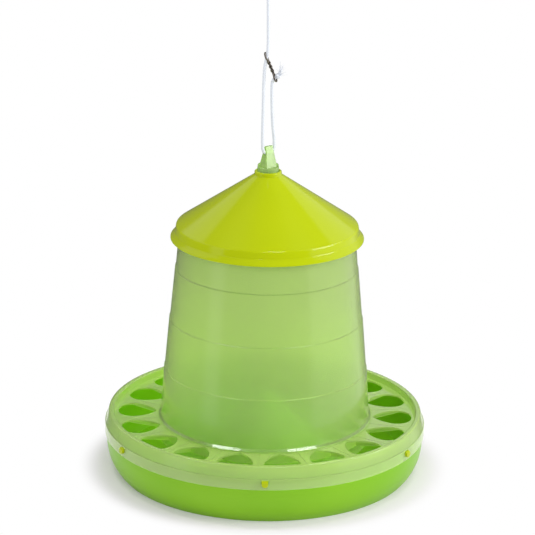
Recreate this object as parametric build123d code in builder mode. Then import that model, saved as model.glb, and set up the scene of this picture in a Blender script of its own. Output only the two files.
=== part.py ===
"""Hanging gravity feeder for hens: a tray with a cone, a windowed grille, a tapered hopper,
a hanger, a conical lid that slides up its own cord, and the cord with its wire adjuster.

Millimetres, +Z up, origin at the centre of the tray's foot. The front faces -Y.
"""
import math
import os

from build123d import *

os.makedirs("parts", exist_ok=True)

# ---------------------------------------------------------------- driving dimensions
rim_radius = 200.0          # outside of the grille's skirt
plastic = 2.0               # wall of the grille, hopper and lid
tray_plastic = 2.5          # wall of the tray

# tray
tray_foot_radius = 183.2
tray_foot_width = 5.0
tray_foot_height = 2.0
tray_wall_radius = 197.8
tray_bend_height = 38.0     # the wall is upright above this height
tray_rim_height = 60.2
cone_height = 98.0
cone_foot_radius = 99.5
cone_tip_radius = 14.0
cone_foot_fillet = 12.0

# six lugs that snap through the skirt
lug_count = 6
lug_azimuth = 0.4           # of the first one, from the front towards +X
lug_width = 7.6
lug_height = 7.4
lug_middle = 55.0
lug_proud = 3.0
lug_clearance = 0.4
lug_chamfer = 2.0           # lead-in on each lug's upper edge

# grille
skirt_bottom = 47.0
skirt_draft = 0.2
step_height = 60.4
step_depth = 0.9
step_rise = 0.3
lip_height = 75.0
lip_outer_radius = 194.8
lip_inner_radius = 188.3
lip_draft = 0.7
lip_fillet = 1.8
tray_rim_clearance = 0.4
tray_rim_headroom = 1.2
deck_height = 66.7
collar_radius = 131.6
collar_bottom = 53.5

# feeding windows, measured along a radius
window_count = 18
window_azimuth = 7.7        # of the first one, from the front towards +X
window_inner = 135.0
window_outer = 184.0
window_widest = 163.0
window_half_width = 22.4
window_flank = (146.5, 14.2)        # a point on the arc from the tip to the widest place
window_shoulder = (175.0, 19.6)     # a point on the arc from there to the corner
window_corner = (181.6, 12.6)
window_tip_fillet = 2.5
gusset_outer = 183.0
gusset_thickness = 1.8

# hopper
chute_bottom = 40.0
chute_radius = 131.2
hopper_flange_radius = 134.0
hopper_flange_height = 1.6
ledge_heights = [131.5, 196.0, 261.0]
ledge_lower_radii = [126.3, 119.9, 113.0]
ledge_step = 0.8
ledge_rise = 0.6
barrel_foot_radius = 130.4
barrel_foot_rise = 2.4      # above the flange
hopper_mouth_height = 315.1
hopper_mouth_radius = 107.6
clip_count = 6
clip_width = 12.0
clip_hold = 2.2             # how far each clip reaches past the chute
clip_flat = 1.2
clip_ramp = 7.5
clip_gap = 0.3              # between the clips and the collar's foot

# hanger
arm_thickness = 3.0
arm_bottom = 297.0
arm_depth = 13.0
arm_gap = 0.3               # between the arms' ends and the hopper
arm_web = 6.0               # extra depth of the plates under the mast
arm_corner = 8.0            # size of the slanted corner between arm and mast
tongue_bottom = 300.6
tongue_top = 305.4
tongue_root = 1.5
tongue_clearance = 0.3
tongue_reach = 110.4
mast_radius = 12.0
hub_radius = 13.2
hub_bottom = 371.0
hub_top = 389.0
peg_top = 414.6
peg_turn = 38.0             # the peg's broad faces are turned about +Z
peg_foot_size = (17.2, 16.0)
peg_top_size = (10.4, 3.2)
peg_fillet = 0.8
cord_hole_height = 406.3
cord_hole_radius = 2.6
cheek_inner = 5.0
cheek_outer = 12.9
cheek_shoulder = (11.9, 3.2)        # radius, and height above the hub
cheek_peak = (9.8, 4.4)
cheek_thickness = 2.6

# lid
brim_radius = 118.8
brim_height = 298.8
brim_edge = 1.0             # height of the brim's upright edge
brim_flare = (116.7, 302.0)
brim_top = 306.2
brim_fillet = 2.0
lid_wall_radius = 113.3
eave_radius = 111.9
eave_height = 315.1
eave_fillet = 3.0
neck_radius = 16.7
neck_foot_height = 379.3
neck_top = 384.0
neck_bore_radius = 14.2
neck_fillet = 1.6

# cord and wire
cord_radius = 2.0
wire_radius = 1.05
hook_wire_radius = 2.0

front = -90.0               # polar angle of azimuth 0

# ---------------------------------------------------------------- feed tray
# The wall's bend is an arc that is upright at tray_bend_height and ends at the foot's edge.
bend_depth = tray_wall_radius - tray_foot_radius
bend_radius = (bend_depth ** 2 + tray_bend_height ** 2) / (2 * bend_depth)
bend_centre = (tray_wall_radius - bend_radius, tray_bend_height)
floor_top = tray_foot_height + tray_plastic
inner_bend_radius = bend_radius - tray_plastic
outer_sweep = math.degrees(math.asin(tray_bend_height / bend_radius))
inner_sweep = math.degrees(math.asin((tray_bend_height - floor_top) / inner_bend_radius))
cone_slope = (cone_height - floor_top) / (cone_foot_radius - cone_tip_radius / 2)
cone_drop = tray_plastic * math.hypot(1, cone_slope)
tip_flat = cone_tip_radius / 2
under_foot_radius = cone_foot_radius - tray_plastic / 2

with BuildSketch() as lug_outline:
    with BuildLine():
        lug_half = lug_width / 2
        lug_top = lug_middle + lug_height / 2
        lug_waist = lug_middle - lug_height / 2 + lug_half
        Polyline((-lug_half, lug_waist), (-lug_half, lug_top), (lug_half, lug_top), (lug_half, lug_waist))
        ThreePointArc((lug_half, lug_waist), (0, lug_waist - lug_half), (-lug_half, lug_waist))
    make_face()

with BuildPart() as lug:
    with BuildSketch(Plane.YZ.offset(tray_wall_radius - tray_plastic / 2)):
        add(lug_outline.sketch)
    extrude(amount=rim_radius + lug_proud - tray_wall_radius + tray_plastic / 2)
    chamfer(lug.edges().filter_by(Axis.Y).group_by(Axis.X)[-1].sort_by(Axis.Z)[-1], lug_chamfer)

with BuildPart() as feed_tray:
    with BuildSketch(Plane.XZ):
        with BuildLine():
            inner_bend = CenterArc(bend_centre, inner_bend_radius, 0, -inner_sweep)
            outer_bend = CenterArc(bend_centre, bend_radius, 0, -outer_sweep)
            Polyline(
                inner_bend @ 0,
                (tray_wall_radius - tray_plastic, tray_rim_height),
                (tray_wall_radius, tray_rim_height),
                outer_bend @ 0,
            )
            FilletPolyline(
                inner_bend @ 1,
                (cone_foot_radius, floor_top),
                (tip_flat, cone_height),
                (0, cone_height),
                radius=[cone_foot_fillet, cone_tip_radius],
            )
            Line((0, cone_height), (0, cone_height - cone_drop))
            FilletPolyline(
                (0, cone_height - cone_drop),
                (tip_flat, cone_height - cone_drop),
                (under_foot_radius, tray_foot_height),
                (tray_foot_radius - tray_foot_width - tray_foot_height, tray_foot_height),
                radius=[cone_tip_radius - tray_plastic, cone_foot_fillet],
            )
            Polyline(
                (tray_foot_radius - tray_foot_width - tray_foot_height, tray_foot_height),
                (tray_foot_radius - tray_foot_width, 0),
                outer_bend @ 1,
            )
        make_face()
    revolve(axis=Axis.Z)
    with PolarLocations(0, lug_count, start_angle=lug_azimuth + front):
        add(lug.part)
feed_tray.part.label = "feed_tray"
export_step(feed_tray.part, "parts/feed_tray.step")

# ---------------------------------------------------------------- feed grille
skirt_inner = rim_radius - plastic
band_foot_radius = rim_radius - step_depth
band_inner = band_foot_radius - plastic - tray_rim_clearance
deck_under = deck_height - plastic
channel_top = lip_height - plastic

with BuildSketch() as window:
    with BuildLine():
        flank = ThreePointArc((window_inner, 0), window_flank, (window_widest, window_half_width))
        shoulder = ThreePointArc(flank @ 1, window_shoulder, window_corner)
        ThreePointArc(shoulder @ 1, (window_outer, 0), (window_corner[0], -window_corner[1]))
        mirror(flank, about=Plane.XZ)
        mirror(shoulder, about=Plane.XZ)
    make_face()
    fillet(window.vertices().sort_by(Axis.X)[0], window_tip_fillet)

with BuildPart() as gusset:
    with BuildSketch(Plane.XZ):
        with BuildLine():
            Polyline(
                (collar_radius + plastic / 2, deck_under + plastic / 2),
                (collar_radius + plastic / 2, collar_bottom),
                (gusset_outer, deck_under),
                (gusset_outer, deck_under + plastic / 2),
                close=True,
            )
        make_face()
    extrude(amount=gusset_thickness / 2, both=True)

with BuildPart() as feed_grille:
    with BuildSketch(Plane.XZ) as grille_section:
        with BuildLine():
            Polyline(
                (skirt_inner, skirt_bottom),
                (rim_radius, skirt_bottom),
                (rim_radius - skirt_draft, step_height),
                (band_foot_radius, step_height + step_rise),
                (lip_outer_radius, lip_height),
                (lip_inner_radius, lip_height),
                (lip_inner_radius - lip_draft, deck_height),
                (collar_radius, deck_height),
                (collar_radius, collar_bottom),
                (collar_radius + plastic, collar_bottom),
                (collar_radius + plastic, deck_under),
                (lip_inner_radius + plastic - lip_draft, deck_under),
                (lip_inner_radius + plastic, channel_top),
                (lip_outer_radius - plastic, channel_top),
                (band_inner, tray_rim_height + tray_rim_headroom),
                (band_inner, tray_rim_height),
                (skirt_inner, tray_rim_height),
                close=True,
            )
        make_face()
        fillet(grille_section.vertices().group_by(Axis.Y)[-1], lip_fillet)
    revolve(axis=Axis.Z)
    with BuildSketch(Plane.XY.offset(deck_height)):
        with PolarLocations(0, window_count, start_angle=window_azimuth + front):
            add(window.sketch)
    extrude(amount=-plastic, mode=Mode.SUBTRACT)
    with PolarLocations(0, window_count, start_angle=window_azimuth + front + 180 / window_count):
        add(gusset.part)
    with BuildSketch(Plane.YZ.offset(skirt_inner - plastic)):
        add(lug_outline.sketch)
        offset(amount=lug_clearance, kind=Kind.INTERSECTION)
    hole_cutter = extrude(amount=3 * plastic, mode=Mode.PRIVATE)
    with PolarLocations(0, lug_count, start_angle=lug_azimuth + front):
        add(hole_cutter, mode=Mode.SUBTRACT)
feed_grille.part.label = "feed_grille"
export_step(feed_grille.part, "parts/feed_grille.step")

# ---------------------------------------------------------------- hopper
# The barrel narrows upwards and steps in by ledge_step at each of its three ledges.
barrel = [(barrel_foot_radius, deck_height + hopper_flange_height + barrel_foot_rise)]
for height, radius in zip(ledge_heights, ledge_lower_radii):
    barrel += [(radius, height), (radius - ledge_step, height + ledge_rise)]
barrel += [(hopper_mouth_radius, hopper_mouth_height)]
bore = [(radius - plastic, height) for radius, height in reversed(barrel)]

with BuildPart() as clip:
    with BuildSketch(Plane.XZ):
        with BuildLine():
            clip_root = chute_radius - plastic / 2
            clip_top = collar_bottom - clip_gap
            Polyline(
                (clip_root, clip_top),
                (chute_radius + clip_hold, clip_top),
                (chute_radius + clip_hold, clip_top - clip_flat),
                (clip_root, clip_top - clip_flat - clip_ramp),
                close=True,
            )
        make_face()
    extrude(amount=clip_width / 2, both=True)

with BuildPart() as hopper:
    with BuildSketch(Plane.XZ):
        with BuildLine():
            Polyline(
                (chute_radius - plastic, chute_bottom),
                (chute_radius, chute_bottom),
                (chute_radius, deck_height),
                (hopper_flange_radius, deck_height),
                (hopper_flange_radius, deck_height + hopper_flange_height),
                *barrel,
                *bore,
                close=True,
            )
        make_face()
    revolve(axis=Axis.Z)
    with PolarLocations(0, clip_count, start_angle=front + 180 / clip_count):
        add(clip.part)
    with BuildSketch(Plane.YZ.offset(hopper_mouth_radius - 3 * plastic)):
        with Locations((0, (tongue_bottom + tongue_top) / 2)):
            Rectangle(arm_thickness + 2 * tongue_clearance, tongue_top - tongue_bottom + 2 * tongue_clearance)
    slot_cutter = extrude(amount=6 * plastic, mode=Mode.PRIVATE)
    with PolarLocations(0, 4):
        add(slot_cutter, mode=Mode.SUBTRACT)
hopper.part.label = "hopper"
export_step(hopper.part, "parts/hopper.step")

# ---------------------------------------------------------------- hanger
# Two crossed plates make the four arms and the ribbed mast; the hub and the peg stand on them.
arm_end = hopper_mouth_radius - plastic - arm_gap
arm_top = arm_bottom + arm_depth

with BuildPart() as arm_plate:
    with BuildSketch(Plane.XZ):
        with BuildLine():
            half_outline = Polyline(
                (0, arm_bottom - arm_web),
                (mast_radius, arm_bottom - arm_web),
                (arm_end, tongue_bottom - tongue_root),
                (arm_end, tongue_bottom),
                (tongue_reach, tongue_bottom),
                (tongue_reach, tongue_top),
                (arm_end, tongue_top),
                (mast_radius + arm_corner, arm_top),
                (mast_radius, arm_top + arm_corner),
                (mast_radius, hub_bottom),
                (0, hub_bottom),
            )
            mirror(half_outline, about=Plane.YZ)
        make_face()
    extrude(amount=arm_thickness / 2, both=True)

with BuildPart() as peg:
    with BuildSketch(Plane.XY.offset(hub_top - plastic)):
        Rectangle(*peg_foot_size, rotation=peg_turn)
    with BuildSketch(Plane.XY.offset(peg_top)):
        Rectangle(*peg_top_size, rotation=peg_turn)
    loft()
    fillet(peg.edges().filter_by(lambda edge: edge.length > hub_top - hub_bottom), peg_fillet)

# The two cheeks beside the peg are rounded ribs on the hub's rim.
with BuildPart() as cheek:
    with BuildSketch(Plane.XZ):
        with BuildLine():
            ThreePointArc(
                (cheek_outer, hub_top),
                (cheek_shoulder[0], hub_top + cheek_shoulder[1]),
                (cheek_peak[0], hub_top + cheek_peak[1]),
            )
            Polyline(
                (cheek_peak[0], hub_top + cheek_peak[1]),
                (cheek_inner, hub_top + cheek_peak[1]),
                (cheek_inner, hub_top - plastic),
                (cheek_outer, hub_top - plastic),
                (cheek_outer, hub_top),
            )
        make_face()
    extrude(amount=cheek_thickness / 2, both=True)

with BuildPart() as hanger:
    with PolarLocations(0, 2, angular_range=180):
        add(arm_plate.part)
    with BuildSketch(Plane.XY.offset(hub_bottom)):
        Circle(hub_radius)
    extrude(amount=hub_top - hub_bottom)
    fillet(hanger.edges().filter_by(GeomType.CIRCLE).sort_by(Axis.Z)[-1], peg_fillet)
    add(peg.part)
    with PolarLocations(0, 2):
        add(cheek.part)
    with BuildSketch(Plane.YZ.rotated((0, 0, peg_turn))):
        with Locations((0, cord_hole_height)):
            Circle(cord_hole_radius)
    extrude(amount=hub_radius, both=True, mode=Mode.SUBTRACT)
hanger.part.label = "hanger"
export_step(hanger.part, "parts/hanger.step")

# ---------------------------------------------------------------- lid
# The roof's underside is the roof moved in by the wall, so the lid is one even skin.
roof_slope = math.atan2(neck_foot_height - eave_height, eave_radius - neck_radius)
roof_drop = plastic / math.cos(roof_slope)
roof_fall = math.tan(roof_slope)

with BuildPart() as lid:
    with BuildSketch(Plane.XZ) as lid_section:
        with BuildLine():
            Polyline(
                (brim_radius - plastic, brim_height),
                (brim_radius, brim_height),
                (brim_radius, brim_height + brim_edge),
                brim_flare,
                (lid_wall_radius, brim_top),
                (eave_radius, eave_height),
                (neck_radius, neck_foot_height),
                (neck_radius, neck_top),
                (neck_bore_radius, neck_top),
                (neck_bore_radius, neck_foot_height - roof_drop + roof_fall * (neck_radius - neck_bore_radius)),
                (eave_radius - plastic, eave_height - roof_drop + roof_fall * plastic),
                (lid_wall_radius - plastic, brim_top),
                close=True,
            )
        make_face()
        fillet(lid_section.vertices().group_by(Axis.Y)[-1].sort_by(Axis.X)[-1], neck_fillet)
        wall_foot = lid_section.vertices().filter_by(lambda v: abs(v.X - lid_wall_radius) < 0.01)
        fillet(wall_foot, brim_fillet)
        eave = lid_section.vertices().filter_by(lambda v: abs(v.X - eave_radius) < 0.01)
        fillet(eave, eave_fillet)
    revolve(axis=Axis.Z)
lid.part.label = "lid"
export_step(lid.part, "parts/lid.step")

# ---------------------------------------------------------------- hanging cord
# One cord: tied in the adjuster's lower eye, down the right strand, through the peg,
# up the left strand, through the adjuster's upper eye and over the ceiling hook.
cord_route = [
    (10.6, -2.4, 503.2),
    (4.4, 1.9, 498.6),
    (2.8, 2.6, 487.0),
    (4.6, 3.9, 440.0),
    (7.2, 5.4, 421.0),
    (6.6, 5.2, 406.2),
    (-6.6, -5.2, 406.2),
    (-7.4, -5.4, 421.0),
    (-7.0, -2.6, 455.0),
    (-6.7, -0.4, 505.0),
    (-4.6, 1.2, 521.0),
    (-1.9, -1.1, 532.5),
    (-2.1, -0.2, 562.0),
    (-2.7, 0.2, 596.0),
    (-3.0, -1.2, 613.0),
    (-3.0, -4.3, 624.0),
    (-3.0, -4.3, 636.3),
    (-3.0, 4.3, 636.3),
    (-3.0, 4.3, 624.0),
    (-2.8, 1.4, 612.0),
]
peg_bend = 4.0              # the cord's bend at each mouth of the peg's hole
hook_turn = 4.2             # the cord's bend over the hook's wire
set_radii = {5: peg_bend, 6: peg_bend, 16: hook_turn, 17: hook_turn}
arc_share = 0.45            # the share of the shorter run that an arc may take


def cord_radii(route):
    """The largest neat arc at each corner, or the size of the thing that the cord turns round."""
    points = [Vector(*point) for point in route]
    radii = []
    for index in range(1, len(points) - 1):
        before = points[index] - points[index - 1]
        after = points[index + 1] - points[index]
        turn = math.radians(before.get_angle(after))
        free = arc_share * min(before.length, after.length) / math.tan(turn / 2)
        radii.append(round(set_radii.get(index, free), 2))
    return radii


bend_radii = cord_radii(cord_route)
print("cord radii", bend_radii)

with BuildPart() as hanging_cord:
    with BuildLine() as cord_path:
        FilletPolyline(*cord_route, radius=bend_radii)
    cord_wire = cord_path.wires()[0]
    with BuildSketch(Plane(cord_wire @ 0, z_dir=cord_wire % 0)):
        Circle(cord_radius)
    sweep(path=cord_wire)
cord_length = cord_wire.length
print("cord length", round(cord_length, 1))
print("cord volume ratio", hanging_cord.part.volume / (math.pi * cord_radius ** 2 * cord_length))
hanging_cord.part.label = "hanging_cord"
export_step(hanging_cord.part, "parts/hanging_cord.step")

# ---------------------------------------------------------------- knots
end_knot_centre = Vector(10.6, -2.4, 503.2)
end_knot_radius = 3.75
tail_radius = 1.4
tail_length = 13.0
tail_leans = [-1.0, 4.0]    # how far each tail's tip leans towards +X

loop_knot_centre = Vector(-2.8, 0, 609.0)
loop_knot_size = (9.0, 7.5, 8.5)
loop_knot_fillet = 2.5

with BuildPart() as cord_end_knot:
    with Locations(end_knot_centre):
        Sphere(end_knot_radius)
    for lean in tail_leans:
        with BuildSketch(Plane(end_knot_centre, z_dir=(lean, 0, tail_length))):
            Circle(tail_radius)
        extrude(amount=tail_length)
cord_end_knot.part.label = "cord_end_knot"
export_step(cord_end_knot.part, "parts/cord_end_knot.step")

with BuildPart() as hook_loop_knot:
    with BuildSketch(Plane.XY.offset(loop_knot_centre.Z - loop_knot_size[2] / 2)):
        with Locations((loop_knot_centre.X, loop_knot_centre.Y)):
            Ellipse(loop_knot_size[0] / 2, loop_knot_size[1] / 2)
    extrude(amount=loop_knot_size[2])
    fillet(hook_loop_knot.edges().group_by(Axis.Z)[0], loop_knot_fillet)
    fillet(hook_loop_knot.edges().group_by(Axis.Z)[-1], loop_knot_fillet)
hook_loop_knot.part.label = "hook_loop_knot"
export_step(hook_loop_knot.part, "parts/hook_loop_knot.step")

# ---------------------------------------------------------------- wire adjuster
# One bent wire: two round eyes joined by two wires that lie side by side.
upper_eye = Vector(-4.1, 0.2, 526.2)
lower_eye = Vector(6.9, -0.1, 499.6)
eye_radius = 4.3
wire_spacing = 2.5
eye_throat_fillet = 3.0
adjuster_facing = Vector(0.905, -0.2, 0.37)

adjuster_axis = (lower_eye - upper_eye).normalized()
eye_offset = (lower_eye - upper_eye).length / 2
adjuster_plane = Plane(
    (upper_eye + lower_eye) / 2,
    x_dir=adjuster_axis,
    z_dir=adjuster_facing - adjuster_axis * adjuster_facing.dot(adjuster_axis),
)

with BuildSketch(adjuster_plane) as adjuster_outline:
    with Locations((-eye_offset, 0), (eye_offset, 0)):
        Circle(eye_radius)
    Rectangle(2 * eye_offset, wire_spacing)
    fillet(adjuster_outline.vertices(), eye_throat_fillet)

with BuildPart() as cord_adjuster:
    wire_path = adjuster_outline.sketch.face().outer_wire()
    with BuildSketch(Plane(wire_path @ 0, z_dir=wire_path % 0)):
        Circle(wire_radius)
    sweep(path=wire_path)
cord_adjuster.part.label = "cord_adjuster"
export_step(cord_adjuster.part, "parts/cord_adjuster.step")

# ---------------------------------------------------------------- ceiling hook
hook_middle = Vector(-3.0, 0, 632.0)
hook_half_width = 9.0
hook_lip_height = 15.3
hook_back_height = 18.0
shank_foot_height = 23.4
hook_bend_radius = 8.8
shank_bend_radius = 5.0
shank_top = 690.0
point_length = 6.0
point_taper = 16.0
shoulder_height = 664.0
shoulder_radius = 6.5
shoulder_thickness = 1.6

hook_route = [
    hook_middle + Vector(-hook_half_width, 0, hook_lip_height),
    hook_middle + Vector(-hook_half_width, 0, 0),
    hook_middle + Vector(hook_half_width, 0, 0),
    hook_middle + Vector(hook_half_width, 0, hook_back_height),
    hook_middle + Vector(0, 0, shank_foot_height),
    Vector(hook_middle.X, 0, shank_top - point_length),
]

with BuildPart() as ceiling_hook:
    with BuildLine() as hook_path:
        FilletPolyline(*hook_route, radius=2 * [hook_bend_radius] + 2 * [shank_bend_radius])
    hook_wire = hook_path.wires()[0]
    with BuildSketch(Plane(hook_wire @ 0, z_dir=hook_wire % 0)):
        Circle(hook_wire_radius)
    sweep(path=hook_wire)
    with Locations(hook_wire @ 0):
        Sphere(hook_wire_radius)
    with BuildSketch(Plane.XY.offset(shoulder_height)):
        with Locations((hook_middle.X, 0)):
            Circle(shoulder_radius)
    extrude(amount=shoulder_thickness)
    with BuildSketch(Plane.XY.offset(shank_top - point_length)):
        with Locations((hook_middle.X, 0)):
            Circle(hook_wire_radius)
    extrude(amount=point_length, taper=point_taper)
ceiling_hook.part.label = "ceiling_hook"
export_step(ceiling_hook.part, "parts/ceiling_hook.step")
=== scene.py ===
"""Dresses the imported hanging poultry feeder: translucent and opaque moulded plastic, a braided
cord with its knots, a bent-wire adjuster, and a plain studio."""
import math

import bpy
import numpy as np
from mathutils import Matrix, Vector


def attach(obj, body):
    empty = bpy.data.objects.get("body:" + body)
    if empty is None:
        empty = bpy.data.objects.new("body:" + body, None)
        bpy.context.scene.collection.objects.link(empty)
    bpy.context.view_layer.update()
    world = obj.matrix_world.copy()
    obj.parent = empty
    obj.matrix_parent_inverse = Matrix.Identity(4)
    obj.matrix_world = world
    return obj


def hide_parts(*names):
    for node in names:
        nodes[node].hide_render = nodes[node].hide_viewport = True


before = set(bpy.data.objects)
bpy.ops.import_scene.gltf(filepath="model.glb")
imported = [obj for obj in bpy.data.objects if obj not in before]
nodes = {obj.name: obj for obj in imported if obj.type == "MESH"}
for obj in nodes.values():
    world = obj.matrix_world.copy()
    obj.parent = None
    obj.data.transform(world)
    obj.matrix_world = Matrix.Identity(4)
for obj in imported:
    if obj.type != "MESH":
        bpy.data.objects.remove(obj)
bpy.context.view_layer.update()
scene = bpy.context.scene

BODY = "feeder"  # the body that every piece made here rides
MM = 0.001  # small shapes are drawn in millimetres, and all else is in metres


def link(name, data):
    thing = bpy.data.objects.new(name, data)
    scene.collection.objects.link(thing)
    return thing


# ---------------------------------------------------------------- camera
def make_camera():
    """A long lens, a little above the rim and rolled slightly, as the object leans in the picture."""
    elevation, roll = math.radians(18.163), math.radians(0.814)
    target, distance = Vector((0.00088, 0, 0.2594)), 3.2
    forward = Vector((0, math.cos(elevation), -math.sin(elevation)))
    level_up = Vector((0, math.sin(elevation), math.cos(elevation)))
    right = math.cos(roll) * Vector((1, 0, 0)) + math.sin(roll) * level_up
    up = math.cos(roll) * level_up - math.sin(roll) * Vector((1, 0, 0))
    data = bpy.data.cameras.new("camera")
    data.sensor_width, data.lens = 36.0, 174.72
    data.clip_start, data.clip_end = 0.05, 60
    camera = link("camera", data)
    turn = Matrix((right, up, -forward)).transposed()
    camera.matrix_world = Matrix.Translation(target - forward * distance) @ turn.to_4x4()
    scene.camera = camera


# ---------------------------------------------------------------- lines and tubes
def lengths_along(line):
    """How far each point of a line is along it."""
    return np.concatenate([[0], np.cumsum(np.linalg.norm(np.diff(line, axis=0), axis=1))])


def evenly_spaced(line, step):
    """The same line with points at most a step apart."""
    far = lengths_along(line)
    at = np.linspace(0, far[-1], int(far[-1] / step) + 2)
    return np.stack([np.interp(at, far, line[:, k]) for k in range(3)], 1)


def smooth_line(name, controls, step):
    """A smooth line in metres that has the given control points, in millimetres."""
    curve = bpy.data.curves.new(name, "CURVE")
    curve.dimensions = "3D"
    curve.resolution_u = 16
    spline = curve.splines.new("NURBS")
    spline.points.add(len(controls) - 1)
    for point, place in zip(spline.points, controls):
        point.co = (*[c * MM for c in place], 1)
    spline.order_u = 3
    spline.use_endpoint_u = True
    guide = link(name, curve)
    mesh = bpy.data.meshes.new_from_object(guide)
    line = np.array([v.co[:] for v in mesh.vertices])
    bpy.data.meshes.remove(mesh)
    bpy.data.objects.remove(guide)
    return evenly_spaced(line, step)


def frames_along(line):
    """Unit normals and binormals that don't twist, by carrying the first one along."""
    tangents = np.gradient(line, axis=0)
    tangents /= np.linalg.norm(tangents, axis=1)[:, None]
    aside = (0.3, 1.0, 0.2)  # a direction that no line here starts in
    normal = np.cross(tangents[0], aside)
    normals = []
    for tangent in tangents:
        normal = normal - tangent * normal.dot(tangent)
        normal /= np.linalg.norm(normal)
        normals.append(normal)
    normals = np.array(normals)
    return normals, np.cross(tangents, normals)


def tube(line, radius, around=20, relief=None):
    """Points and faces of a closed tube. radius is a number or one for each point of the line;
    relief(turn, far) multiplies it, for a braid or a thread."""
    normals, sides = frames_along(line)
    far = lengths_along(line)
    turn = np.linspace(0, 2 * np.pi, around, endpoint=False)
    size = np.broadcast_to(radius, len(line))[:, None] * np.ones(around)
    if relief:
        size = size * relief(turn[None, :], far[:, None])
    outward = np.cos(turn)[None, :, None] * normals[:, None] + np.sin(turn)[None, :, None] * sides[:, None]
    rings = line[:, None] + size[..., None] * outward
    count = len(line)
    points = np.concatenate([rings.reshape(-1, 3), line[:1], line[-1:]])
    faces = []
    for i in range(count - 1):
        for j in range(around):
            k = (j + 1) % around
            faces.append((i * around + j, i * around + k, (i + 1) * around + k, (i + 1) * around + j))
    for j in range(around):
        k = (j + 1) % around
        faces.append((count * around, k, j))
        faces.append((count * around + 1, (count - 1) * around + j, (count - 1) * around + k))
    return points, faces


def piece(name, tubes):
    """One smooth mesh object from several tubes."""
    points, faces = [], []
    for own_points, own_faces in tubes:
        start = sum(len(p) for p in points)
        points.append(own_points)
        faces += [tuple(start + v for v in face) for face in own_faces]
    mesh = bpy.data.meshes.new(name)
    mesh.from_pydata(np.concatenate(points).tolist(), [], faces)
    mesh.polygons.foreach_set("use_smooth", [True] * len(mesh.polygons))
    mesh.update()
    return link(name, mesh)


# ---------------------------------------------------------------- the cord
CORD_DIAMETER = 0.004
BRAID_PITCH = 0.016
CORD_ROUTE = [
    (10.6, -2.4, 503.2),
    (4.4, 1.9, 498.6),
    (2.8, 2.6, 487.0),
    (4.6, 3.9, 440.0),
    (7.2, 5.4, 421.0),
    (6.6, 5.2, 406.2),
    (-6.6, -5.2, 406.2),
    (-7.4, -5.4, 421.0),
    (-7.0, -2.6, 455.0),
    (-6.7, -0.4, 505.0),
    (-4.6, 1.2, 521.0),
    (-1.9, -1.1, 532.5),
    (-2.1, -0.2, 562.0),
    (-2.7, 0.2, 596.0),
    (-3.0, -1.2, 613.0),
    (-3.0, -4.3, 624.0),
    (-3.0, -4.3, 636.3),
    (-3.0, 4.3, 636.3),
    (-3.0, 4.3, 624.0),
    (-2.8, 1.4, 612.0),
]


def braid(turn, far):
    """Two families of four strands that cross."""
    valley, rise = 0.93, 0.09
    wound = far * (2 * np.pi / BRAID_PITCH)
    right = np.abs(np.sin(2 * (turn + wound)))
    left = np.abs(np.sin(2 * (turn - wound)))
    return valley + rise * np.maximum(right, left)


def make_cord():
    line = smooth_line("cord_guide", CORD_ROUTE, step=0.0005)
    cord = piece("cord", [tube(line, CORD_DIAMETER / 2, around=24, relief=braid)])
    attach(cord, BODY)
    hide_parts("hanging_cord")
    return cord, line, float(lengths_along(line)[-1])


# ---------------------------------------------------------------- the knots
def turned(points, about_x, about_z):
    """Points turned about X and then about Z, in radians."""
    turn = Matrix.Rotation(about_z, 3, "Z") @ Matrix.Rotation(about_x, 3, "X")
    return points @ np.array(turn).T


def frayed(root, lean, length, count, seed):
    """Loose fibres that fan out from a cut end."""
    thickness, scatter, fan, curl, shortest = 0.17, 0.55, 0.26, 0.28, 0.72
    chance = np.random.RandomState(seed)
    lean = np.array(lean) / np.linalg.norm(lean)
    tubes = []
    for _ in range(count):
        way = lean + fan * chance.normal(size=3)
        way /= np.linalg.norm(way)
        bend = curl * chance.normal(size=3)
        far = np.linspace(0, length * chance.uniform(shortest, 1.0), 14)[:, None]
        start = np.array(root) + scatter * chance.normal(size=3)
        line = start + far * way + far ** 2 / length * bend
        radius = np.linspace(thickness, 0.6 * thickness, len(line))
        tubes.append(tube(line * MM, radius * MM, around=6))
    return tubes


def make_end_knot():
    """An overhand knot pulled tight under the adjuster's lower eye, with a frayed end."""
    centre = np.array(CORD_ROUTE[0])
    t = np.linspace(0, 2 * np.pi, 160)
    trefoil = np.stack([np.sin(t) + 2 * np.sin(2 * t), np.cos(t) - 2 * np.cos(2 * t), -np.sin(3 * t)], 1)
    line = centre + turned(trefoil * (0.83, 0.83, 1.0), about_x=1.1, about_z=0.5)
    tubes = [tube(line * MM, 1.42 * MM, around=18, relief=braid)]
    tubes += frayed(centre + (1.0, -0.6, 2.6), lean=(0.33, -0.05, 1.0), length=11.0, count=26, seed=5)
    tubes += frayed(centre + (1.9, -0.8, 0.5), lean=(0.75, -0.2, 0.75), length=6.0, count=14, seed=8)
    knot = piece("end_knot", tubes)
    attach(knot, BODY)
    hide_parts("cord_end_knot")
    return knot


def make_loop_knot():
    """The turns that the cord's own end makes round both strands, under the hook."""
    centre = np.array([-2.8, 0, 609.0])
    turns, half_width, half_depth, half_height = 2.3, 2.95, 2.2, 2.75
    t = np.linspace(0, 2 * np.pi * turns, 220)
    rise = np.interp(t, (t[0], t[-1]), (-half_height, half_height))
    line = centre + np.stack([half_width * np.cos(t), half_depth * np.sin(t), rise], 1)
    knot = piece("loop_knot", [tube(line * MM, 1.5 * MM, around=18, relief=braid)])
    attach(knot, BODY)
    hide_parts("hook_loop_knot")
    return knot


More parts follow.
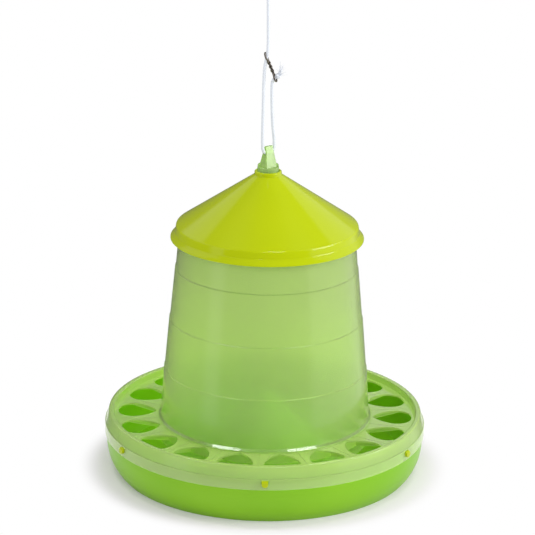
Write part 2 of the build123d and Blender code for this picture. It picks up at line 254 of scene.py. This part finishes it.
# ---------------------------------------------------------------- the adjuster
def make_adjuster():
    """One bent wire: a round eye at each end and, between them, its two halves wound together."""
    upper, lower = np.array([-4.1, 0.2, 526.2]), np.array([6.9, -0.1, 499.6])
    wire, eye, neck, mouth = 1.05, 4.3, 2.4, math.radians(34)
    half_gap, half_turns = 1.12, 3

    reach = np.linalg.norm(lower - upper) / 2
    axis = (lower - upper) / (2 * reach)
    facing = np.array([0.905, -0.2, 0.37])
    facing -= axis * facing.dot(axis)
    facing /= np.linalg.norm(facing)
    across = np.cross(facing, axis)

    body = reach - eye - neck
    along = np.linspace(-body, body, 60)
    angle = np.pi * half_turns * (along + body) / (2 * body)
    there = np.stack([along, half_gap * np.cos(angle), half_gap * np.sin(angle)], 1)
    back = there[::-1] * (1, -1, -1)
    bow = np.linspace(np.pi - mouth, mouth - np.pi, 44)
    loop = np.stack([reach + eye * np.cos(bow), eye * np.sin(bow), 0 * bow], 1)
    far_loop = loop * (1, np.sign(there[-1, 1]), 1)
    near_loop = (loop * (-1, 1, 1))[::-1]
    half = len(near_loop) // 2
    flat = np.concatenate([near_loop[half:], there, far_loop, back, near_loop[:half + 1]])

    bent = (upper + lower) / 2 + flat @ np.stack([axis, across, facing])
    line = smooth_line("wire_guide", bent, step=0.0004)
    adjuster = piece("adjuster", [tube(line, wire * MM)])
    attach(adjuster, BODY)
    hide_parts("cord_adjuster")
    return adjuster


# ---------------------------------------------------------------- the screw hook
HOOK_MIDDLE = -3.0  # the hook's axis in X
ARC_STEPS = 24
THREAD_PITCH = 0.0024


def rounded(corners, radii, step):
    """A line through the corners with an arc of the given radius at each inner one."""
    corners = [Vector(c) for c in corners]
    points = [corners[0]]
    for before, corner, after, radius in zip(corners, corners[1:], corners[2:], radii):
        one, two = (before - corner).normalized(), (after - corner).normalized()
        half = one.angle(two) / 2
        centre = corner + (one + two).normalized() * radius / math.sin(half)
        start = corner + one * radius / math.tan(half) - centre
        normal = one.cross(two)
        for k in range(ARC_STEPS + 1):
            angle = -(math.pi - 2 * half) * k / ARC_STEPS
            points.append(centre + Matrix.Rotation(angle, 3, normal) @ start)
    points.append(corners[-1])
    return evenly_spaced(np.array([p[:] for p in points]), step)


def upright(low, high, step):
    """A line straight up the hook's axis."""
    heights = np.linspace(low, high, int((high - low) / step) + 2)
    return np.stack([np.full_like(heights, HOOK_MIDDLE), 0 * heights, heights], 1)


def thread(turn, far):
    """A wood screw's sharp single thread."""
    core, flank, crest = 0.76, 4.2, 1.35
    phase = (turn / (2 * np.pi) + far / THREAD_PITCH) % 1
    return core + (1 - core) * np.clip(crest - flank * np.abs(phase - 0.5), 0, 1)


def bent_wire(radius):
    """The hook itself, up to its shank, with a rounded lip."""
    swing = 9
    left, right = HOOK_MIDDLE - swing, HOOK_MIDDLE + swing
    lip, bottom, shoulder, neck, top = 647.3, 632, 650, 655.4, 665
    corners = [(left, 0, lip), (left, 0, bottom), (right, 0, bottom), (right, 0, shoulder),
               (HOOK_MIDDLE, 0, neck), (HOOK_MIDDLE, 0, top)]
    line = rounded(corners, radii=(8.8, 8.8, 5.0, 5.0), step=0.35)
    ahead = np.linspace(-radius, 0, 10)[1:-1]
    cap = line[0] + (line[0] - line[1]) / np.linalg.norm(line[0] - line[1]) * -ahead[:, None]
    sizes = np.concatenate([np.sqrt(radius ** 2 - ahead ** 2), np.full(len(line), radius)])
    return tube(np.concatenate([cap, line]) * MM, sizes * MM, around=28)


def collar(low, high):
    """A flat disc with a rounded edge."""
    inner, edge = 6.0, 0.5
    line = upright(low, high, step=0.1)
    from_face = np.minimum(line[:, 2] - low, high - line[:, 2]).clip(0, edge)
    radius = inner + np.sqrt(np.clip(edge ** 2 - (edge - from_face) ** 2, 0, 1))
    return tube(line * MM, radius * MM, around=48)


def threaded_shank(radius, low, tip):
    """The shank with its thread, which narrows to a blunt point."""
    point_length, blunt = 6.0, 0.12
    line = upright(low, tip, step=0.15)
    taper = np.clip((tip - line[:, 2]) / point_length, blunt, 1) * radius
    return tube(line * MM, taper * MM, around=28, relief=thread)


def make_hook():
    """A screw hook: bent wire, a pressed collar, and a threaded point."""
    radius = 2.0
    parts = [bent_wire(radius), collar(low=664.0, high=665.6), threaded_shank(radius, low=665.0, tip=690.0)]
    hook = piece("hook", parts)
    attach(hook, BODY)
    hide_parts("ceiling_hook")
    return hook


# ---------------------------------------------------------------- node trees
def fill(tree, into, value):
    """Links another node's output to an input, or sets the input to a plain value."""
    if isinstance(value, bpy.types.NodeSocket):
        tree.links.new(value, into)
    else:
        into.default_value = value


def map_range(tree, value, low, high, new_low=0, new_high=1, kind="LINEAR"):
    node = tree.nodes.new("ShaderNodeMapRange")
    node.interpolation_type = kind
    for name, number in zip(("From Min", "From Max", "To Min", "To Max"), (low, high, new_low, new_high)):
        node.inputs[name].default_value = number
    tree.links.new(value, node.inputs["Value"])
    return node.outputs["Result"]


def math_node(tree, operation, first, second):
    node = tree.nodes.new("ShaderNodeMath")
    node.operation = operation
    fill(tree, node.inputs[0], first)
    fill(tree, node.inputs[1], second)
    return node.outputs[0]


def separated(tree, vector):
    node = tree.nodes.new("ShaderNodeSeparateXYZ")
    tree.links.new(vector, node.inputs[0])
    return node.outputs


def from_axis(tree, place):
    """How far a place is from the object's Z axis."""
    flat, far = tree.nodes.new("ShaderNodeVectorMath"), tree.nodes.new("ShaderNodeVectorMath")
    flat.operation, far.operation = "MULTIPLY", "LENGTH"
    flat.inputs[1].default_value = (1, 1, 0)
    tree.links.new(place, flat.inputs[0])
    tree.links.new(flat.outputs[0], far.inputs[0])
    return far.outputs["Value"]


def mixed(tree, factor, first, second):
    """One shader or the other, by the factor."""
    node = tree.nodes.new("ShaderNodeMixShader")
    for into, value in zip(node.inputs, (factor, first, second)):
        tree.links.new(value, into)
    return node.outputs[0]


class Shader:
    """A Principled material with a few helpers for its node tree."""

    def __init__(self, name):
        self.material = bpy.data.materials.new(name)
        self.material.use_nodes = True
        self.tree = self.material.node_tree
        self.nodes, self.links = self.tree.nodes, self.tree.links
        self.surface = self.nodes["Principled BSDF"]
        self.place = self.nodes.new("ShaderNodeTexCoord").outputs["Object"]

    def set(self, **values):
        for name, value in values.items():
            self.surface.inputs[name.replace("_", " ")].default_value = value

    def feed(self, name, value):
        self.links.new(value, self.surface.inputs[name])

    def noise(self, scale, detail=3.0):
        noise = self.nodes.new("ShaderNodeTexNoise")
        noise.inputs["Scale"].default_value = scale
        noise.inputs["Detail"].default_value = detail
        self.links.new(self.place, noise.inputs["Vector"])
        return noise.outputs["Fac"]

    def spread(self, value, low, high, new_low=0, new_high=1):
        return map_range(self.tree, value, low, high, new_low, new_high)

    def cloud(self, low=0, high=1):
        """Broad, soft flow marks."""
        return self.spread(self.noise(scale=9.0, detail=4.0), 0.35, 0.7, low, high)

    def vary(self, name, scale, low, high):
        """Feeds an input from noise between two values."""
        self.feed(name, self.spread(self.noise(scale), 0.3, 0.7, low, high))

    def blend(self, factor, first, second):
        mix = self.nodes.new("ShaderNodeMix")
        mix.data_type = "RGBA"
        fill(self.tree, mix.inputs["A"], first)
        fill(self.tree, mix.inputs["B"], second)
        self.links.new(factor, mix.inputs["Factor"])
        return mix.outputs["Result"]

    def bump(self, height, distance, strength):
        bump = self.nodes.new("ShaderNodeBump")
        bump.inputs["Distance"].default_value = distance
        bump.inputs["Strength"].default_value = strength
        self.links.new(height, bump.inputs["Height"])
        self.feed("Normal", bump.outputs["Normal"])


# ---------------------------------------------------------------- materials
LUG_ROOT, LUG_FACE = 0.1984, 0.199  # how far out the tray's green gives way to the lugs' yellow: painted light, as the small lugs catch the light
LOWER_TOP, UPPER_FOOT = 0.16, 0.26  # the heights between which the clear plastic's painted see-through tint changes, greener below for the tray seen through it
DYE = (0.69, 0.76, 0.14, 1)  # what is left of white light deep in the clear plastic
LIGHT_THROUGH = (0.96, 1, 0.88, 1)  # what one wall of it lets through to a lamp's shadow


def srgb(red, green, blue):
    def linear(c):
        c /= 255
        return c / 12.92 if c <= 0.04045 else ((c + 0.055) / 1.055) ** 2.4
    return (linear(red), linear(green), linear(blue), 1)


def moulded(name, colour, deeper, roughness):
    """Moulded polypropylene: cloudy flow marks and an uneven gloss."""
    shader = Shader(name)
    shader.feed("Base Color", shader.blend(shader.cloud(), colour, deeper))
    shader.vary("Roughness", scale=40.0, low=roughness, high=roughness + 0.05)
    shader.set(IOR=1.49)
    return shader


def lid_plastic():
    shader = moulded("lid_plastic", srgb(186, 202, 1), srgb(182, 199, 1), 0.29)
    shader.set(Specular_IOR_Level=0.02, Coat_Weight=0.8, Coat_Roughness=0.04)
    return shader.material


def tray_plastic():
    """The tray's green, with painted light on the lugs: they are painted in the lid's yellow, as they look
    where they catch the light.
    """
    shader = moulded("tray_plastic", srgb(134, 191, 32), srgb(127, 186, 27), 0.3)
    shader.set(Specular_IOR_Level=0.25)
    green = shader.surface.inputs["Base Color"].links[0].from_socket
    # painted light: the lugs are painted yellow from this radius out, for the light they catch
    painted_lit_lugs = shader.spread(from_axis(shader.tree, shader.place), LUG_ROOT, LUG_FACE)
    shader.feed("Base Color", shader.blend(painted_lit_lugs, green, srgb(178, 194, 6)))
    return shader.material


def clear_plastic(name, lower, upper, clearness, dye_density, coat):
    """Natural polypropylene with a green dye: it blurs what is behind it, and walls seen edge on are deep
    olive. Its base colour is greener low down, a painted see-through tint for the green tray behind the
    lower walls.
    Rays from the lamps go straight on through it, tinted."""
    shader = Shader(name)
    # painted see-through tint: greener low down, for the green tray seen through the walls
    height = shader.spread(separated(shader.tree, shader.place)["Z"], LOWER_TOP, UPPER_FOOT)
    flow_marks_and_painted_tint = math_node(shader.tree, "ADD", shader.cloud(-0.2, 0.2), height)
    shader.feed("Base Color", shader.blend(flow_marks_and_painted_tint, lower, upper))
    shader.vary("Roughness", scale=40.0, low=0.2, high=0.255)
    shader.set(IOR=1.45, Specular_IOR_Level=0.3, Transmission_Weight=clearness)
    shader.set(Coat_Weight=coat, Coat_Roughness=0.04)
    output = shader.nodes["Material Output"]
    dye = shader.nodes.new("ShaderNodeVolumeAbsorption")
    dye.inputs["Color"].default_value = DYE
    dye.inputs["Density"].default_value = dye_density
    shader.links.new(dye.outputs["Volume"], output.inputs["Volume"])
    passed = shader.nodes.new("ShaderNodeBsdfTransparent")
    passed.inputs["Color"].default_value = LIGHT_THROUGH
    shadow_ray = shader.nodes.new("ShaderNodeLightPath").outputs["Is Shadow Ray"]
    both = mixed(shader.tree, shadow_ray, shader.surface.outputs[0], passed.outputs[0])
    shader.links.new(both, output.inputs["Surface"])
    return shader.material


def cord_fibre():
    shader = Shader("cord_fibre")
    fine = shader.noise(scale=900.0)
    shader.feed("Base Color", shader.blend(fine, srgb(214, 219, 229), srgb(236, 240, 247)))
    shader.bump(fine, distance=0.0003, strength=0.5)
    shader.set(Roughness=0.8, Sheen_Weight=0.3)
    return shader.material


def steel(name, colour, darker, roughness):
    shader = Shader(name)
    worn = shader.spread(shader.noise(scale=260.0, detail=5.0), 0.35, 0.65)
    shader.feed("Base Color", shader.blend(worn, colour, darker))
    shader.vary("Roughness", scale=500.0, low=roughness - 0.08, high=roughness + 0.12)
    shader.bump(shader.noise(scale=700.0), distance=0.0002, strength=0.3)
    shader.set(Metallic=1.0)
    return shader.material


def dress(thing, material):
    thing.data.materials.clear()
    thing.data.materials.append(material)


# ---------------------------------------------------------------- studio
def make_world(walls, ceiling, gloss):
    """Pale walls and a darker ceiling, and plain white where the camera looks past the floor. In
    reflections the room is dark in front of the object, with a narrow bright band on the left and a
    wide one on the right; gloss gives the strength of the dark and of the bright there."""
    world = bpy.data.worlds.new("studio")
    scene.world = world
    world.use_nodes = True
    tree = world.node_tree
    tree.nodes.clear()
    out = tree.nodes.new("ShaderNodeOutputWorld")
    room, white = tree.nodes.new("ShaderNodeBackground"), tree.nodes.new("ShaderNodeBackground")
    room.inputs["Color"].default_value = white.inputs["Color"].default_value = (1, 1, 1, 1)
    toward = separated(tree, tree.nodes.new("ShaderNodeTexCoord").outputs["Generated"])
    path = tree.nodes.new("ShaderNodeLightPath").outputs

    def step(axis, low, high, new_low=0, new_high=1):
        return map_range(tree, toward[axis], low, high, new_low, new_high, "SMOOTHSTEP")

    def joined(operation, first, second):
        return math_node(tree, operation, first, second)

    level = step("Z", 0.7, 0.76, walls, ceiling)
    left_band = joined("MAXIMUM", step("Y", -0.4, -0.2, 1, 0.12), step("Z", 0.3, 0.5))
    sides = joined("MAXIMUM", left_band, step("X", -0.1, 0.1))
    behind = joined("MAXIMUM", step("Y", 0.6, 0.85, 1, 0.25), step("Z", 0.2, 0.4))
    not_in_front = step("Y", -0.64, -0.54)
    bright = joined("MULTIPLY", joined("MULTIPLY", sides, behind), not_in_front)
    mirrored = map_range(tree, bright, 0, 1, *gloss, kind="SMOOTHSTEP")
    loss = joined("MULTIPLY", path["Is Glossy Ray"], joined("SUBTRACT", 1.0, mirrored))
    tree.links.new(joined("MULTIPLY", level, joined("SUBTRACT", 1.0, loss)), room.inputs["Strength"])
    seen = joined("MAXIMUM", path["Is Camera Ray"], path["Is Transmission Ray"])
    tree.links.new(mixed(tree, seen, room.outputs[0], white.outputs[0]), out.inputs["Surface"])


def make_floor(radius):
    """A pale floor that keeps the shadow near the object and runs out to plain white."""
    # the paper is tinted magenta as a painted correction of light: it cancels the green light that the
    # feeder bounces onto the floor
    sides, paper_tint_against_green_bounce, lift = 96, (0.88, 0.81, 0.91, 1), 0.1
    fade_start, fade_end = 0.196, 0.24
    angles = [2 * math.pi * k / sides for k in range(sides)]
    ring = [(radius * math.cos(angle), radius * math.sin(angle), 0) for angle in angles]
    mesh = bpy.data.meshes.new("floor")
    mesh.from_pydata(ring, [], [tuple(range(sides))])
    floor = link("floor", mesh)

    material = bpy.data.materials.new("floor_paper")
    material.use_nodes = True
    tree = material.node_tree
    tree.nodes.clear()
    out = tree.nodes.new("ShaderNodeOutputMaterial")
    paper = tree.nodes.new("ShaderNodeBsdfDiffuse")
    paper.inputs["Color"].default_value = paper_tint_against_green_bounce
    glow, white = tree.nodes.new("ShaderNodeEmission"), tree.nodes.new("ShaderNodeEmission")
    camera_ray = tree.nodes.new("ShaderNodeLightPath").outputs["Is Camera Ray"]
    tree.links.new(math_node(tree, "MULTIPLY", camera_ray, lift), glow.inputs["Strength"])
    near = tree.nodes.new("ShaderNodeAddShader")
    tree.links.new(paper.outputs[0], near.inputs[0])
    tree.links.new(glow.outputs[0], near.inputs[1])
    place = tree.nodes.new("ShaderNodeTexCoord").outputs["Object"]
    fade = map_range(tree, from_axis(tree, place), fade_start, fade_end, kind="SMOOTHERSTEP")
    tree.links.new(mixed(tree, fade, near.outputs[0], white.outputs[0]), out.inputs["Surface"])
    mesh.materials.append(material)


def softbox(name, place, along, size, power):
    """A soft box that faces the feeder, its long side as near as can be to the direction along."""
    aimed_at = Vector((0, 0, 0.2))
    data = bpy.data.lights.new(name, "AREA")
    data.shape = "RECTANGLE"
    data.size, data.size_y = size
    data.energy = power
    lamp = link(name, data)
    back = (Vector(place) - aimed_at).normalized()
    side = back.cross(Vector(along)).normalized()
    lamp.location = place
    lamp.rotation_mode = "QUATERNION"
    lamp.rotation_quaternion = Matrix((side.cross(back), side, back)).transposed().to_quaternion()
    lamp.visible_camera = False


# ---------------------------------------------------------------- assembly
make_camera()
adjuster, hook, end_knot, loop_knot = make_adjuster(), make_hook(), make_end_knot(), make_loop_knot()
cord, cord_line, cord_length = make_cord()

# lower holds a painted see-through tint, for the green tray behind the lower walls
dress(nodes["hopper"], clear_plastic(
    "hopper_plastic", lower=srgb(213, 236, 160), upper=srgb(208, 226, 163),
    clearness=0.76, dye_density=110.0, coat=0.4))
dress(nodes["hanger"], clear_plastic(
    "hanger_plastic", lower=srgb(190, 222, 140), upper=srgb(184, 217, 132),
    clearness=0.5, dye_density=30.0, coat=0.5))
dress(nodes["feed_grille"], clear_plastic(
    "grille_plastic", lower=srgb(210, 233, 152), upper=srgb(204, 230, 145),
    clearness=0.64, dye_density=60.0, coat=0.5))
dress(nodes["feed_tray"], tray_plastic())
dress(nodes["lid"], lid_plastic())
dress(adjuster, steel("dark_steel", srgb(150, 142, 134), srgb(92, 84, 78), 0.32))
dress(hook, steel("plated_steel", srgb(200, 202, 205), srgb(170, 172, 176), 0.25))
fibre = cord_fibre()
for strand in (cord, end_knot, loop_knot):
    dress(strand, fibre)

make_world(walls=0.88, ceiling=0.24, gloss=(0.14, 0.86))
make_floor(radius=0.34)
for name, side in (("left_softbox", -1), ("right_softbox", 1)):
    softbox(name, (0.64 * side, 0.09, 1.85), along=(0.39 * side, 0.3, -0.17), size=(0.54, 0.12), power=4)
softbox("front_softbox", (0, -1.5, 1.5), along=(1, 0, 0), size=(0.7, 0.1), power=3.5)
softbox("side_softbox", (1.5, -0.5, 0.9), along=(0, 0, 1), size=(0.8, 0.8), power=12)

scene.view_settings.view_transform = "Standard"
